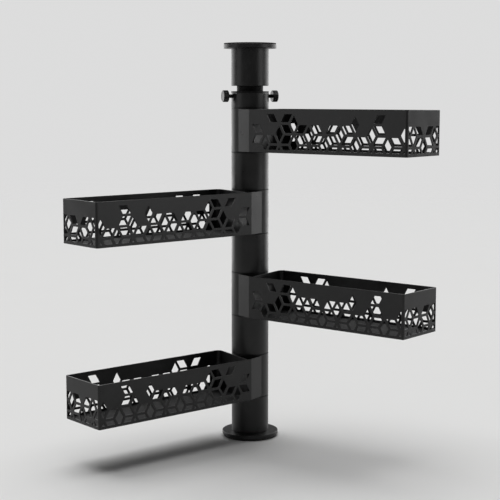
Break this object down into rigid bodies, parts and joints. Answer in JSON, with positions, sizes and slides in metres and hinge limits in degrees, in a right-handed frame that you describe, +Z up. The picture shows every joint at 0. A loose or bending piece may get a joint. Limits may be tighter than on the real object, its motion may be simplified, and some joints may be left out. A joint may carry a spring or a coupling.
{
  "type": "spice carousel",
  "caption": "Telescopic black steel column that stands on a worktop, with swivelling lattice-cut sheet-metal baskets for spice jars stacked along it.",
  "frame": {"origin": "middle of the underside of the base pad, on the column's axis", "axes": "+Z up along the column; -Y towards the viewer of the baskets, +X to the viewer's right"},
  "size_m": [0.5399, 0.2718, 0.6185],
  "materials": {
    "powder_coat": "satin black powder coat, fine texture",
    "bare_steel": "zinc-plated, plain",
    "nylon": "black moulded nylon",
    "rubber": "matt black rubber"
  },
  "bodies": {
    "column": {"base_pad": "rubber", "base_flange": "powder_coat", "base_screw": "bare_steel", "base_plug": "bare_steel", "column_tube": "bare_steel", "spacer_sleeve_1": "powder_coat", "spacer_sleeve_2": "powder_coat", "spacer_sleeve_3": "powder_coat", "spacer_sleeve_4": "powder_coat", "clamp_collar": "powder_coat", "guide_ring": "nylon"},
    "tier_1": {"tier_1_hub_sleeve": "powder_coat", "tier_1_lower_bush": "nylon", "tier_1_upper_bush": "nylon", "tier_1_basket_wall": "powder_coat", "tier_1_basket_floor": "powder_coat"},
    "tier_2": {"tier_2_hub_sleeve": "powder_coat", "tier_2_lower_bush": "nylon", "tier_2_upper_bush": "nylon", "tier_2_basket_wall": "powder_coat", "tier_2_basket_floor": "powder_coat"},
    "tier_3": {"tier_3_hub_sleeve": "powder_coat", "tier_3_lower_bush": "nylon", "tier_3_upper_bush": "nylon", "tier_3_basket_wall": "powder_coat", "tier_3_basket_floor": "powder_coat"},
    "tier_4": {"tier_4_hub_sleeve": "powder_coat", "tier_4_lower_bush": "nylon", "tier_4_upper_bush": "nylon", "tier_4_basket_wall": "powder_coat", "tier_4_basket_floor": "powder_coat"},
    "telescope": {"telescopic_tube": "powder_coat", "top_sleeve": "powder_coat", "head_flange": "powder_coat", "head_pad": "rubber", "head_screw": "bare_steel", "head_plug": "bare_steel"},
    "left_shoe": {"thumbscrew_left_shoe": "nylon"},
    "left_thumbscrew": {"thumbscrew_left_stud": "bare_steel", "thumbscrew_left_knob": "powder_coat"},
    "right_shoe": {"thumbscrew_right_shoe": "nylon"},
    "right_thumbscrew": {"thumbscrew_right_stud": "bare_steel", "thumbscrew_right_knob": "powder_coat"}
  },
  "joints": [
    {"name": "tier_1_swivel", "type": "hinge", "parent": "column", "child": "tier_1", "pos_m": [0, 0, 0.1004], "axis": [0, 0, 1], "continuous": true},
    {"name": "tier_2_swivel", "type": "hinge", "parent": "column", "child": "tier_2", "pos_m": [0, 0, 0.2299], "axis": [0, 0, 1], "continuous": true},
    {"name": "tier_3_swivel", "type": "hinge", "parent": "column", "child": "tier_3", "pos_m": [0, 0, 0.3594], "axis": [0, 0, 1], "continuous": true},
    {"name": "tier_4_swivel", "type": "hinge", "parent": "column", "child": "tier_4", "pos_m": [0, 0, 0.4854], "axis": [0, 0, 1], "continuous": true},
    {"name": "height_adjust", "type": "slide", "parent": "column", "child": "telescope", "axis": [0, 0, 1], "range_m": [-0.006, 0.1]},
    {"name": "left_thumbscrew_travel", "type": "slide", "parent": "column", "child": "left_shoe", "axis": [-0.9511, -0.309, 0], "range_m": [0, 0.004]},
    {"name": "left_thumbscrew_turn", "type": "hinge", "parent": "left_shoe", "child": "left_thumbscrew", "pos_m": [0, 0, 0.5375], "axis": [-0.9511, -0.309, 0], "range_deg": [0, 1441]},
    {"name": "right_thumbscrew_travel", "type": "slide", "parent": "column", "child": "right_shoe", "axis": [0.9511, 0.309, 0], "range_m": [0, 0.004]},
    {"name": "right_thumbscrew_turn", "type": "hinge", "parent": "right_shoe", "child": "right_thumbscrew", "pos_m": [0, 0, 0.5375], "axis": [0.9511, 0.309, 0], "range_deg": [0, 1441]}
  ],
  "couplings": [
    {"joint": "left_thumbscrew_turn", "follows": "left_thumbscrew_travel", "rad_per_m": 6283.2},
    {"joint": "right_thumbscrew_turn", "follows": "right_thumbscrew_travel", "rad_per_m": 6283.2}
  ]
}
